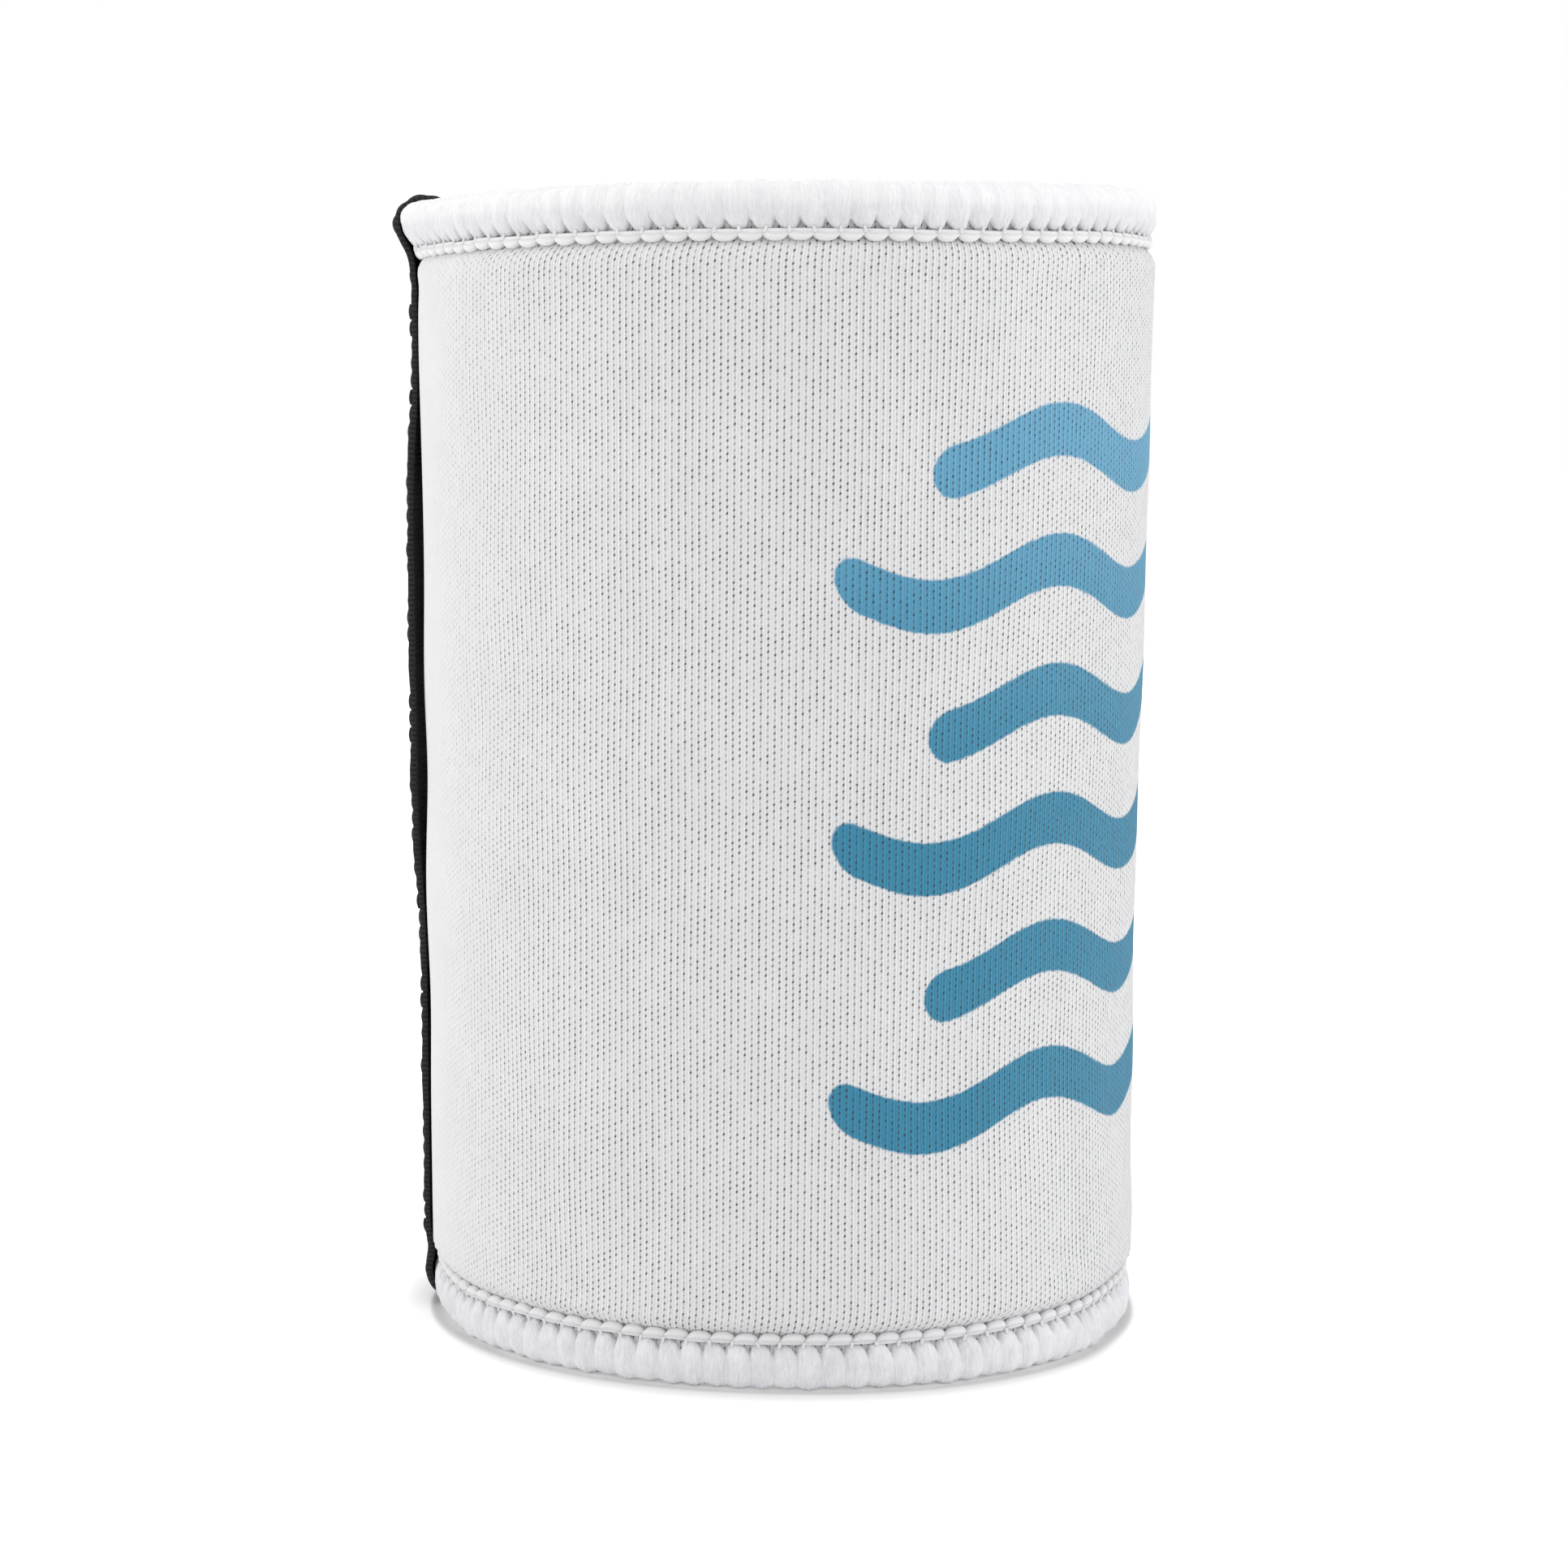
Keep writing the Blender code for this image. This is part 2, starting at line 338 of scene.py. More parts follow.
def place(angle, radius, height):
    """Points of the round sleeve once the tape has pulled it, the rim has risen and the foot has swelled."""
    from_seam = np.abs((angle - SEAM_ANGLE + math.pi) % math.tau - math.pi)
    dip = RIM_DIP * (0.5 + 0.5 * np.cos(from_seam)) ** 2 * height / HEIGHT
    dip = dip - FRONT_RISE * smooth(from_seam, FRONT_RISE_START, FRONT_RISE_END) * height / HEIGHT
    taped = TAPE_WIDTH / 2 / MID_RADIUS
    pull = 1 - smooth(from_seam, taped, taped + PULL_FADE)
    lift = FOOT_LIFT * pull * (1 - smooth(height, 0, LIFT_HEIGHT))
    radius = radius + RIM_FLARE * pull * smooth(height, HEIGHT - FLARE_REACH, HEIGHT)
    front = -np.cos(from_seam)
    swell = FOOT_SWELL * smooth(front, SWELL_START, SWELL_FULL)
    swell = swell * (1 - SWELL_DROP * smooth(front, SWELL_FULL, 1))
    radius = radius + swell * (1 - smooth(height, 0, SWELL_REACH))
    across = radius * np.cos(angle)
    along = AXIS_Y + radius * np.sin(angle)
    return np.stack([across, along, height - dip + lift], axis=-1)


def at_rim(angle, offset, depth):
    """Points given by their offset from the wall's face and their depth below the rim's edge."""
    height = HEIGHT - depth
    return place(angle, wall_face(height) + offset, height)


def at_foot(angle, offset, depth):
    """The same, up from the foot's edge."""
    return place(angle, wall_face(depth) + offset, depth)


def around_edge(inset, start, end, steps):
    """Offsets and depths round the bead's half circle, from 0 degrees outside to 180 inside."""
    radius = BEAD_RADIUS - inset
    turn = np.radians(np.linspace(start, end, steps))
    return np.stack([BEAD_CENTRE + radius * np.cos(turn), BEAD_RADIUS - radius * np.sin(turn)], axis=-1)


def open_ring(columns):
    """Angles from one butted edge of the sheet round to the other."""
    half_gap = SEAM_GAP / 2 / MID_RADIUS
    return np.linspace(SEAM_ANGLE + half_gap, SEAM_ANGLE + math.tau - half_gap, columns + 1)


def ripple(across, along, length, seed, waves=7, spread=0.7):
    """Smooth irregular relief between about -1 and 1, of waves near one length."""
    random = np.random.default_rng(seed)
    total = 0
    for turn, phase, stretch in random.random((waves, 3)):
        reach = math.tau / length * (spread + spread * stretch)
        heading = turn * math.pi
        distance = across * math.cos(heading) + along * math.sin(heading)
        total = total + np.sin(reach * distance + phase * math.tau)
    return total / math.sqrt(waves)


def lengths_along(path):
    """Length along a path at each of its points."""
    return np.concatenate([[0], np.cumsum(np.linalg.norm(np.diff(path, axis=0), axis=1))])


def right_of_path(path):
    """Unit directions to the right of a path at each of its points."""
    run = np.gradient(path, axis=0)
    run /= np.linalg.norm(run, axis=1, keepdims=True)
    return np.stack([run[:, 1], -run[:, 0]], axis=-1)


def around_thread(sides):
    """Angles round a thread."""
    return np.linspace(0, math.tau, sides, endpoint=False)


def lattice(name, points, uv, finish, ring=False, inner=None):
    """One object of closed bodies, each a lattice of columns and rows.

    points has the shape (bodies, columns, rows, 3). A ring joins its last column to its first, and
    other bodies have both ends capped. inner says which rows take the second material.
    """
    bodies, columns, rows, _ = points.shape
    column = np.arange(columns if ring else columns - 1)[:, None]
    row = np.arange(rows)[None, :]
    after, above = (column + 1) % columns * rows, (row + 1) % rows
    before = column * rows
    quads = np.stack([before + row, after + row, after + above, before + above], axis=-1).reshape(-1, 4)
    first = points[0].reshape(-1, 3)
    corner = [first[quads[:, i]] for i in range(4)]
    middle = first.mean(axis=0)
    volume = sum(
        np.einsum("ij,ij->i", corner[0] - middle, np.cross(corner[i] - middle, corner[i + 1] - middle)).sum()
        for i in (1, 2)
    )
    turned = volume < 0
    if turned:
        quads = quads[:, ::-1]
    starts = np.arange(bodies) * columns * rows
    corners = [(quads[None] + starts[:, None, None]).reshape(-1)]
    sizes = [np.full(bodies * len(quads), 4)]
    if not ring:
        near, far = np.arange(rows), (columns - 1) * rows + np.arange(rows)[::-1]
        for start in starts:
            for cap in (near, far):
                corners.append(start + (cap if turned else cap[::-1]))
                sizes.append(np.array([rows]))
    corners, sizes = np.concatenate(corners), np.concatenate(sizes)
    mesh = bpy.data.meshes.new(name)
    mesh.vertices.add(points.size // 3)
    mesh.vertices.foreach_set("co", np.ascontiguousarray(points, dtype=np.float32).ravel())
    mesh.loops.add(len(corners))
    mesh.loops.foreach_set("vertex_index", corners.astype(np.int32))
    mesh.polygons.add(len(sizes))
    mesh.polygons.foreach_set("loop_start", np.concatenate([[0], np.cumsum(sizes)[:-1]]).astype(np.int32))
    mesh.update(calc_edges=True)
    layer = mesh.uv_layers.new(name="cloth")
    flat = np.ascontiguousarray(uv, dtype=np.float32).reshape(-1, 2)
    layer.data.foreach_set("uv", flat[corners].ravel())
    mesh.shade_smooth()
    for material in finish:
        mesh.materials.append(material)
    if inner is not None:
        sides = np.tile(inner, bodies * len(column))
        index = np.concatenate([sides, np.ones(len(sizes) - len(sides))])
        mesh.polygons.foreach_set("material_index", index.astype(np.int32))
    piece = bpy.data.objects.new(name, mesh)
    bpy.context.scene.collection.objects.link(piece)
    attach(piece, "root")
    return piece


class Field:
    """A shader value that adds, multiplies and compares like a number."""

    def __init__(self, socket):
        self.socket = socket

    def maths(self, operation, *others):
        tree = self.socket.node.id_data
        node = tree.nodes.new("ShaderNodeMath")
        node.operation = operation
        for target, value in zip(node.inputs, (self, *others)):
            feed(target, value)
        return Field(node.outputs[0])

    def __add__(self, other):
        return self.maths("ADD", other)

    def __sub__(self, other):
        return self.maths("SUBTRACT", other)

    def __mul__(self, other):
        return self.maths("MULTIPLY", other)

    def __truediv__(self, other):
        return self.maths("DIVIDE", other)

    def bell(self, spread):
        """A bell curve, 1 where the value is 0."""
        return (self * self * (-0.5 / spread**2)).maths("EXPONENT")

    def wave(self, length):
        """A sine from 0 to 1 that repeats over one length."""
        return (self * (math.tau / length)).maths("SINE") * 0.5 + 0.5

    def between(self, start, end, low=0.0, high=1.0):
        """An S-curve from low to high as the value goes from start to end."""
        node = self.socket.node.id_data.nodes.new("ShaderNodeMapRange")
        node.interpolation_type = "SMOOTHSTEP"
        for target, value in zip(node.inputs, (self, start, end, low, high)):
            feed(target, value)
        return Field(node.outputs[0])


def feed(target, value):
    """Links a field to a socket, or sets the socket to a plain value."""
    if isinstance(value, Field):
        value.socket.node.id_data.links.new(value.socket, target)
    else:
        target.default_value = value


def new_finish(name, roughness, sheen):
    """A material and its main shader."""
    material = bpy.data.materials.new(name)
    material.use_nodes = True
    shader = material.node_tree.nodes["Principled BSDF"]
    shader.inputs["Roughness"].default_value = roughness
    shader.inputs["Sheen Weight"].default_value = sheen
    shader.inputs["Sheen Roughness"].default_value = 0.5
    shader.inputs["Specular IOR Level"].default_value = 0.25
    return material, shader


def cloth_map(tree):
    """The two coordinates of the piece's own map."""
    source = tree.nodes.new("ShaderNodeUVMap")
    source.uv_map = "cloth"
    split = tree.nodes.new("ShaderNodeSeparateXYZ")
    tree.links.new(source.outputs[0], split.inputs[0])
    return Field(split.outputs[0]), Field(split.outputs[1])


def noise(tree, across, along, scale=1.0, detail=2.0, seed=0.0):
    """Cloudy noise from 0 to 1 over two coordinates."""
    joined = tree.nodes.new("ShaderNodeCombineXYZ")
    for target, value in zip(joined.inputs, (across, along, seed)):
        feed(target, value)
    source = tree.nodes.new("ShaderNodeTexNoise")
    source.inputs["Scale"].default_value = scale
    source.inputs["Detail"].default_value = detail
    tree.links.new(joined.outputs[0], source.inputs["Vector"])
    return Field(source.outputs[0])


def cell_random(tree, column, row):
    """One random value from 0 to 1 for each cell of a grid."""
    joined = tree.nodes.new("ShaderNodeCombineXYZ")
    feed(joined.inputs[0], column)
    feed(joined.inputs[1], row)
    source = tree.nodes.new("ShaderNodeTexWhiteNoise")
    source.noise_dimensions = "2D"
    tree.links.new(joined.outputs[0], source.inputs["Vector"])
    return Field(source.outputs[0])


def blend_colours(tree, share, first, second):
    """First colour at 0 and second at 1."""
    node = tree.nodes.new("ShaderNodeMix")
    node.data_type = "RGBA"
    feed(node.inputs["Factor"], share)
    for target, value in ((node.inputs[6], first), (node.inputs[7], second)):
        feed(target, value if isinstance(value, Field) else (*value, 1))
    return Field(node.outputs[2])


def raise_surface(tree, shader, height, distance, strength=1.0):
    """Bump from a height field."""
    node = tree.nodes.new("ShaderNodeBump")
    node.inputs["Strength"].default_value = strength
    node.inputs["Distance"].default_value = distance
    feed(node.inputs["Height"], height)
    tree.links.new(node.outputs[0], shader.inputs["Normal"])


def holes_opened(across):
    """0 beside the tape and 1 where the knit's holes are fully open: the holes fade out toward the seam."""
    opposite_seam = (SEAM_ANGLE + math.pi) * MID_RADIUS / MM
    from_opposite = (across - opposite_seam).maths("ABSOLUTE")
    at_tape = (math.pi * MID_RADIUS - TAPE_WIDTH / 2) / MM
    fully_open = math.pi * MID_RADIUS / MM - HOLES_OPEN
    return from_opposite.between(at_tape, fully_open)


def knit_loops(tree, across, along):
    """Shares of a hole, of the raised leg beside it and of the furrow between wales at a point."""
    wales, courses = across / WALE, along / COURSE
    column = (wales + 0.5).maths("FLOOR")
    aside = (wales - column) * WALE
    courses = courses + (column * 0.5).maths("FRACT")
    row = (courses + 0.5).maths("FLOOR")
    ahead = (courses - row) * COURSE
    chance = cell_random(tree, column, row)
    strong = (aside - ahead * HOLE_SLANT).bell(HOLE_WIDTH) * ahead.bell(HOLE_LENGTH)
    strong = strong * (chance * HOLE_VARIATION + HOLE_LEAST)
    halfway = ahead.maths("ABSOLUTE") - COURSE / 2
    linked = halfway.bell(HOLE_WIDTH) * chance * cell_random(tree, column, 0.5)
    weak = aside.bell(HOLE_WIDTH) * (linked * LINK_VARIATION + HOLE_LINK)
    to_side = aside.maths("ABSOLUTE")
    bulge = (courses * math.tau).maths("COSINE") * LEG_BULGE
    legs = (to_side - bulge - LEG_PLACE).bell(LEG_WIDTH)
    furrow = (to_side - WALE / 2).bell(FURROW_WIDTH)
    return ((strong + weak) * holes_opened(across)).maths("MINIMUM", 1.0), legs, furrow


def print_share(tree, across, along):
    """1 on the wavy bands and 0 off them."""
    from_front = across - PRINT_FRONT * MID_RADIUS / MM
    wave = (from_front * (math.tau / WAVE_LENGTH)).maths("SINE") * WAVE_RISE
    level = (along - wave - BAND_LOW) / BAND_SPACING
    band = level.maths("ROUND").maths("MAXIMUM", 0.0).maths("MINIMUM", BAND_COUNT - 1.0)
    stagger = ((band * 0.5).maths("FRACT") * 4 - 1.0) * BAND_STAGGER
    past_end = (from_front - stagger).maths("ABSOLUTE") - (BAND_LENGTH - BAND_WIDTH) / 2
    past_end = past_end.maths("MAXIMUM", 0.0)
    off_line = (level - band) * BAND_SPACING
    reach = (past_end * past_end + off_line * off_line).maths("SQRT")
    reach = reach + (noise(tree, across, along, scale=1.6) - 0.5) * BAND_WANDER
    return reach.between(BAND_WIDTH / 2 + BAND_BLUR, BAND_WIDTH / 2 - BAND_BLUR)


def printed_knit():
    """White jersey whose holes show the black foam, with the print in its threads."""
    material, shader = new_finish("printed_knit", roughness=0.9, sheen=0.12)
    tree = material.node_tree
    across, along = cloth_map(tree)
    holes, legs, furrow = knit_loops(tree, across, along)
    cloudy = noise(tree, across, along, scale=0.11, detail=3.0)
    fluff = noise(tree, across, along, scale=5.0, seed=3.0)
    # Painted highlight on the raised legs and painted shade in the furrows between wales, with random fluffy
    # and cloudy tone
    light = legs * 0.5 + fluff * 0.3 + cloudy * 0.25 - furrow * 0.35
    white = blend_colours(tree, light, *KNIT_TONES)
    blue = blend_colours(tree, along.between(*PRINT_FADE), PRINT_FOOT_TONE, PRINT_TOP_TONE)
    # The blue takes painted shade in the furrows and a painted highlight on the raised legs, as the white
    # does
    deep = blend_colours(tree, PRINT_SHADE_SHARE, blue, (0.0, 0.0, 0.0))
    blue_in_light = blend_colours(tree, PRINT_HIGHLIGHT_SHARE, blue, (1.0, 1.0, 1.0))
    blue = blend_colours(tree, light, deep, blue_in_light)
    thread = blend_colours(tree, print_share(tree, across, along), white, blue)
    feed(shader.inputs["Base Color"], blend_colours(tree, holes, thread, FOAM_TONE))
    relief = fluff * 0.2 + legs * 0.45 - furrow * 0.2 - holes
    raise_surface(tree, shader, relief, distance=0.00015)
    return material


def black_knit(name="black_knit"):
    """Black jersey, in which the loops show by their relief."""
    material, shader = new_finish(name, roughness=0.92, sheen=0.15)
    tree = material.node_tree
    across, along = cloth_map(tree)
    holes, legs, furrow = knit_loops(tree, across, along)
    fluff = noise(tree, across, along, scale=4.0, detail=3.0)
    light = legs * 0.7 + fluff * 0.4 - furrow * 0.2
    thread = blend_colours(tree, light, *LINING_TONES)
    feed(shader.inputs["Base Color"], blend_colours(tree, holes, thread, LINING_HOLE_TONE))
    raise_surface(tree, shader, fluff * 0.3 + legs * 0.4 - holes, distance=0.00012, strength=0.9)
    return material


def woolly(name, tones, crest_highlight_share):
    """Fluffy white thread: fine fibres along the wrap and soft cloudy shade, with a painted highlight that
    pales the crest.
    """
    material, shader = new_finish(name, roughness=0.92, sheen=0.08)
    tree = material.node_tree
    across, along = cloth_map(tree)
    strand = noise(tree, across * STRAND_GRAIN[0], along * STRAND_GRAIN[1], seed=9.0)
    fibre = noise(tree, across * FIBRE_GRAIN[0], along * FIBRE_GRAIN[1], detail=4.0)
    cloudy = noise(tree, across, along, scale=0.45, seed=5.0)
    shade = fibre * 0.35 + strand * 0.35 + cloudy * 0.3
    colour = blend_colours(tree, shade.between(0.36, 0.6), *tones)
    # Painted highlight: from the crest's start onward along the wrap, the colour pales toward the crest tone
    crest = along.between(CREST_HIGHLIGHT_START, CREST_HIGHLIGHT_END) * crest_highlight_share
    feed(shader.inputs["Base Color"], blend_colours(tree, crest, colour, CREST_HIGHLIGHT_TONE))
    raise_surface(tree, shader, fibre * 0.6 + strand * 0.7, distance=0.00022, strength=0.85)
    return material


def twisted(name, tint):
    """Smoother thread whose plies run slantwise round it."""
    material, shader = new_finish(name, roughness=0.7, sheen=0.05)
    tree = material.node_tree
    across, along = cloth_map(tree)
    plies = (across + along * PLY_SLANT).wave(PLY_LENGTH)
    fluff = noise(tree, across * 3.0, along * 3.0, detail=3.0)
    shade = plies * 0.45 + fluff * 0.55
    darker = tuple(value * PLY_SHADE for value in tint)
    feed(shader.inputs["Base Color"], blend_colours(tree, shade, darker, tint))
    raise_surface(tree, shader, shade, distance=0.00006, strength=0.7)
    return material


def woven_tape():
    """Black woven tape, ribbed across its width."""
    material, shader = new_finish("woven_tape", roughness=0.82, sheen=0.1)
    tree = material.node_tree
    across, along = cloth_map(tree)
    ribs = along.wave(RIB_LENGTH)
    fluff = noise(tree, across * 3.0, along * 3.0, detail=3.0)
    weave = ribs * 0.6 + ribs * across.wave(YARN_LENGTH) * 0.25 + fluff * 0.15
    feed(shader.inputs["Base Color"], blend_colours(tree, weave, *TAPE_TONES))
    raise_surface(tree, shader, weave, distance=0.00012, strength=0.8)
    return material


def wall_offset(height):
    """Offset of the wall's face at a height: it tucks in under each chain."""
    depth = np.minimum(height, HEIGHT - height)
    upper = height > HEIGHT / 2
    start = np.where(upper, RIM_TUCK_START, FOOT_TUCK_START)
    reach = np.where(upper, RIM_TUCK_REACH, FOOT_TUCK_REACH)
    deepest = np.where(upper, RIM_TUCK_DEPTH, FOOT_TUCK_DEPTH)
    share = np.clip((depth - start) / reach, 0, 1)
    return -deepest * (1 - share) ** TUCK_CURVE


def lining_dip(depth):
    """How far the lining dips beside the wraps' inner ends, at a depth from the hem's edge."""
    return (INNER_GROOVE + FIT_GAP) * (1 - smooth(depth, STITCH_DEPTH, STITCH_DEPTH + GROOVE_REACH))


def sleeve_sheet(finishes):
    """The foam sheet with its knitted faces, swollen between the hems and puckered at each stitch."""
    angle = open_ring(WALL_COLUMNS)
    spread = np.linspace(-1, 1, WALL_ROWS)
    low = STITCH_DEPTH
    reach = HEIGHT / 2 - low
    crowded = reach * np.sin(spread * math.pi / 2) * ROW_CROWDING
    face_height = HEIGHT / 2 + crowded + reach * spread * (1 - ROW_CROWDING)
    face_radius = wall_face(face_height) + wall_offset(face_height)
    edge = around_edge(THREAD_THICKNESS + FIT_GAP, HIDDEN_START, HIDDEN_END, 5)
    lining_height = np.linspace(HEIGHT - low, low, LINING_ROWS)
    lining_depth = np.minimum(lining_height, HEIGHT - lining_height)
    lining = wall_face(lining_height) - WALL_THICKNESS + lining_dip(lining_depth)
    rim_height = HEIGHT - edge[:, 1]
    foot_height = edge[::-1, 1]
    rim_radius = wall_face(rim_height) + edge[:, 0]
    foot_radius = wall_face(foot_height) + edge[::-1, 0]
    radius = np.concatenate([face_radius, rim_radius, lining, foot_radius])
    height = np.concatenate([face_height, rim_height, lining_height, foot_height])
    rows = len(height)
    turn = np.broadcast_to(angle[:, None], (len(angle), rows))
    radius = np.broadcast_to(radius, turn.shape).copy()
    height = np.broadcast_to(height, turn.shape)
    stitch = (turn - angle[0]) / (angle[-1] - angle[0]) * STITCH_COUNT
    row = np.arange(rows)
    outside = row < WALL_ROWS
    lined = (row >= WALL_ROWS + len(edge) - 1) & (row < rows - len(edge))
    past_tuck = np.minimum(height - FOOT_TUCK_START, HEIGHT - height - RIM_TUCK_START)
    near_hem = np.exp(-np.clip(past_tuck, 0, 1) / PUCKER_FADE) * (past_tuck > 0)
    uneven = 0.7 + 0.5 * ripple(turn * MID_RADIUS, height * 0, PUCKER_LENGTH, seed=3)
    pucker = PUCKER_DEPTH * near_hem * uneven * np.cos(stitch * math.tau)
    sag = SAG_DEPTH * ripple(turn * MID_RADIUS, height, SAG_LENGTH, seed=11) * smooth(past_tuck, 0, SAG_FADE)
    radius += np.where(outside, pucker + sag, 0)
    to_hem = np.clip(1 - (np.minimum(height, HEIGHT - height) - STITCH_DEPTH) / LEAN_REACH, 0, 1)
    lean = WALE_LEAN * to_hem**2 * np.where(height > HEIGHT / 2, -1, 1)
    uv = np.stack([turn * MID_RADIUS / MM + lean, height / MM], axis=-1)
    points = place(turn, radius, height)
    piece = lattice("sleeve_sheet", points[None], uv[None], finishes, inner=lined)
    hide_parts("wall")
    return piece


def wrap_section(tread):
    """Offsets and depths of a wrap's face from groove to groove, then its hidden back."""
    outer_depth = np.linspace(STITCH_DEPTH + WRAP_OVERRUN, BEAD_RADIUS, OUTER_STEPS)[:-1]
    bend = ((outer_depth - BEAD_RADIUS) / (STITCH_DEPTH - BEAD_RADIUS)) ** 2
    outer = np.stack([-BEAD_SETBACK - (OUTER_GROOVE - BEAD_SETBACK) * bend, outer_depth], axis=-1)
    turn = np.radians(np.linspace(0, 180, RING_STEPS))
    power = 2 / (FOOT_FULLNESS if tread else RIM_FULLNESS)
    aside = BEAD_RADIUS * np.sign(np.cos(turn)) * np.abs(np.cos(turn)) ** power
    crest = np.stack([BEAD_CENTRE + aside, BEAD_RADIUS * (1 - np.abs(np.sin(turn)) ** power)], axis=-1)
    inner_depth = np.linspace(BEAD_RADIUS, STITCH_DEPTH, INNER_STEPS)[1:]
    bend = ((inner_depth - BEAD_RADIUS) / (STITCH_DEPTH - BEAD_RADIUS)) ** 2
    crest_end = BEAD_CENTRE - BEAD_RADIUS
    groove = -WALL_THICKNESS + INNER_GROOVE
    inner = np.stack([crest_end + (groove - crest_end) * bend, inner_depth], axis=-1)
    if tread:
        crest[np.abs(aside) < FOOT_WIDTH / 2, 1] = 0
    back = around_edge(THREAD_THICKNESS, HIDDEN_END, HIDDEN_START, 4)
    return np.concatenate([outer, crest, inner]), back


def hem_wraps(name, side, node, material, tread, seed):
    """Woolly thread wrapped over a hem, one leaning lobe for each stitch."""
    face, back = wrap_section(tread)
    angle = open_ring(WRAP_COLUMNS)
    outward = -right_of_path(face)
    path = lengths_along(face)
    to_groove = np.minimum(path, path[-1] - path)
    turn = np.broadcast_to(angle[:, None], (len(angle), len(face)))
    leaning = (-LEAN if tread else LEAN) * (1 - np.exp(-path / LEAN_FADE)) / MID_RADIUS
    share = (turn + leaning - angle[0]) / (angle[-1] - angle[0]) * STITCH_COUNT
    share = share - (FOOT_SHIFT if tread else 0)
    stitch = np.floor(share).astype(int)
    phase = share - stitch
    random = np.random.default_rng(seed)
    plump = random.normal(0, 1, STITCH_COUNT + 2)[stitch % (STITCH_COUNT + 2)]
    to_crease = np.minimum(phase, 1 - phase)
    fade = FOOT_CREASE_FADE if tread else RIM_CREASE_FADE
    at_groove = np.exp(-((to_groove / fade) ** CREASE_CURVE))
    flare = FOOT_CREASE_FLARE if tread else RIM_CREASE_FLARE
    width = CREASE_WIDTH + flare * np.exp(-to_groove / CREASE_FLARE_FADE)
    crease_depth = CREST_CREASE + (CREASE_DEPTH - CREST_CREASE) * at_groove
    crease = crease_depth * np.exp(-((to_crease / width) ** 2))
    crown = (FOOT_CROWN if tread else RIM_CROWN) * (-0.5 - 0.5 * np.cos(math.tau * phase))
    wobble = ripple(turn * MID_RADIUS, path[None, :], FIBRE_LENGTH, seed + 1)
    ridge = np.cos(math.tau * (FIBRES_PER_WRAP * phase + FIBRE_WANDER * wobble + plump))
    rise = crown - crease + FIBRE_RIDGE * ridge + PLUMP_RISE * plump
    rise += LUMP_RISE * ripple(turn * MID_RADIUS, path[None, :], LUMP_LENGTH, seed + 2)
    offset = face[:, 0] + rise * outward[:, 0]
    depth = face[:, 1] + rise * outward[:, 1]
    if tread:
        depth = np.maximum(depth, 0)
    hidden = np.broadcast_to(back[None], (len(angle), *back.shape))
    offset = np.concatenate([offset, hidden[..., 0]], axis=1)
    depth = np.concatenate([depth, hidden[..., 1]], axis=1)
    all_turn = np.broadcast_to(angle[:, None], offset.shape)
    along = np.concatenate([path, np.full(len(back), path[-1])])
    leaning = np.concatenate([leaning, np.zeros(len(back))])
    around_mm = (all_turn + leaning) * MID_RADIUS / MM
    uv = np.stack([around_mm, np.broadcast_to(along / MM, offset.shape)], axis=-1)
    piece = lattice(name, side(all_turn, offset, depth)[None], uv[None], [material])
    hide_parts(node)
    return piece


def hem_chain(name, side, node, material, slant, seed):
    """Purl loops along a stitch line: plump under each notch and tucked in at both ends."""
    pitch = (math.tau - SEAM_GAP / MID_RADIUS) / STITCH_COUNT
    random = np.random.default_rng(seed)
    centre = open_ring(STITCH_COUNT)[:-1]
    along = np.linspace(-1, 1, LOOP_STEPS)
    around = around_thread(LOOP_SIDES)
    reach = LOOP_REACH * pitch * (1 + LOOP_UNEVEN * random.normal(0, 1, STITCH_COUNT))
    turn = centre[:, None] + reach[:, None] * along[None, :]
    rounded = np.maximum(1 - np.abs(along) ** LOOP_BLUNTNESS, 0) ** LOOP_ROUNDNESS
    plump = rounded * (1 - LOOP_END) + LOOP_END
    tall = CHAIN_HEIGHT / 2 * plump * LOOP_TALL
    deep = CHAIN_THICKNESS / 2 * (LOOP_END_DEPTH + (1 - LOOP_END_DEPTH) * plump) * LOOP_DEEP
    wander = LOOP_WANDER * random.normal(0, 1, STITCH_COUNT)
    middle = CHAIN_TOP - LOOP_RAISE + tall[None, :] + wander[:, None]
    tuck = -CHAIN_SETBACK - CHAIN_THICKNESS / 2 - LOOP_TILT * along - LOOP_TUCK * along**2
    offset = tuck[None, :, None] + deep[None, :, None] * np.cos(around)[None, None, :]
    depth = middle[:, :, None] + tall[None, :, None] * np.sin(around)[None, None, :]
    offset = np.broadcast_to(offset, depth.shape)
    angle = turn[:, :, None] + slant / MID_RADIUS * np.sin(around)[None, None, :]
    around_mm = np.broadcast_to(around / math.tau * LOOP_GIRTH, depth.shape)
    uv = np.stack([angle * MID_RADIUS / MM, around_mm], axis=-1)
    # The first loop would lie across the seam, so it is left out
    piece = lattice(name, side(angle, offset, depth)[1:], uv[1:], [material])
    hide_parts(node)
    return piece


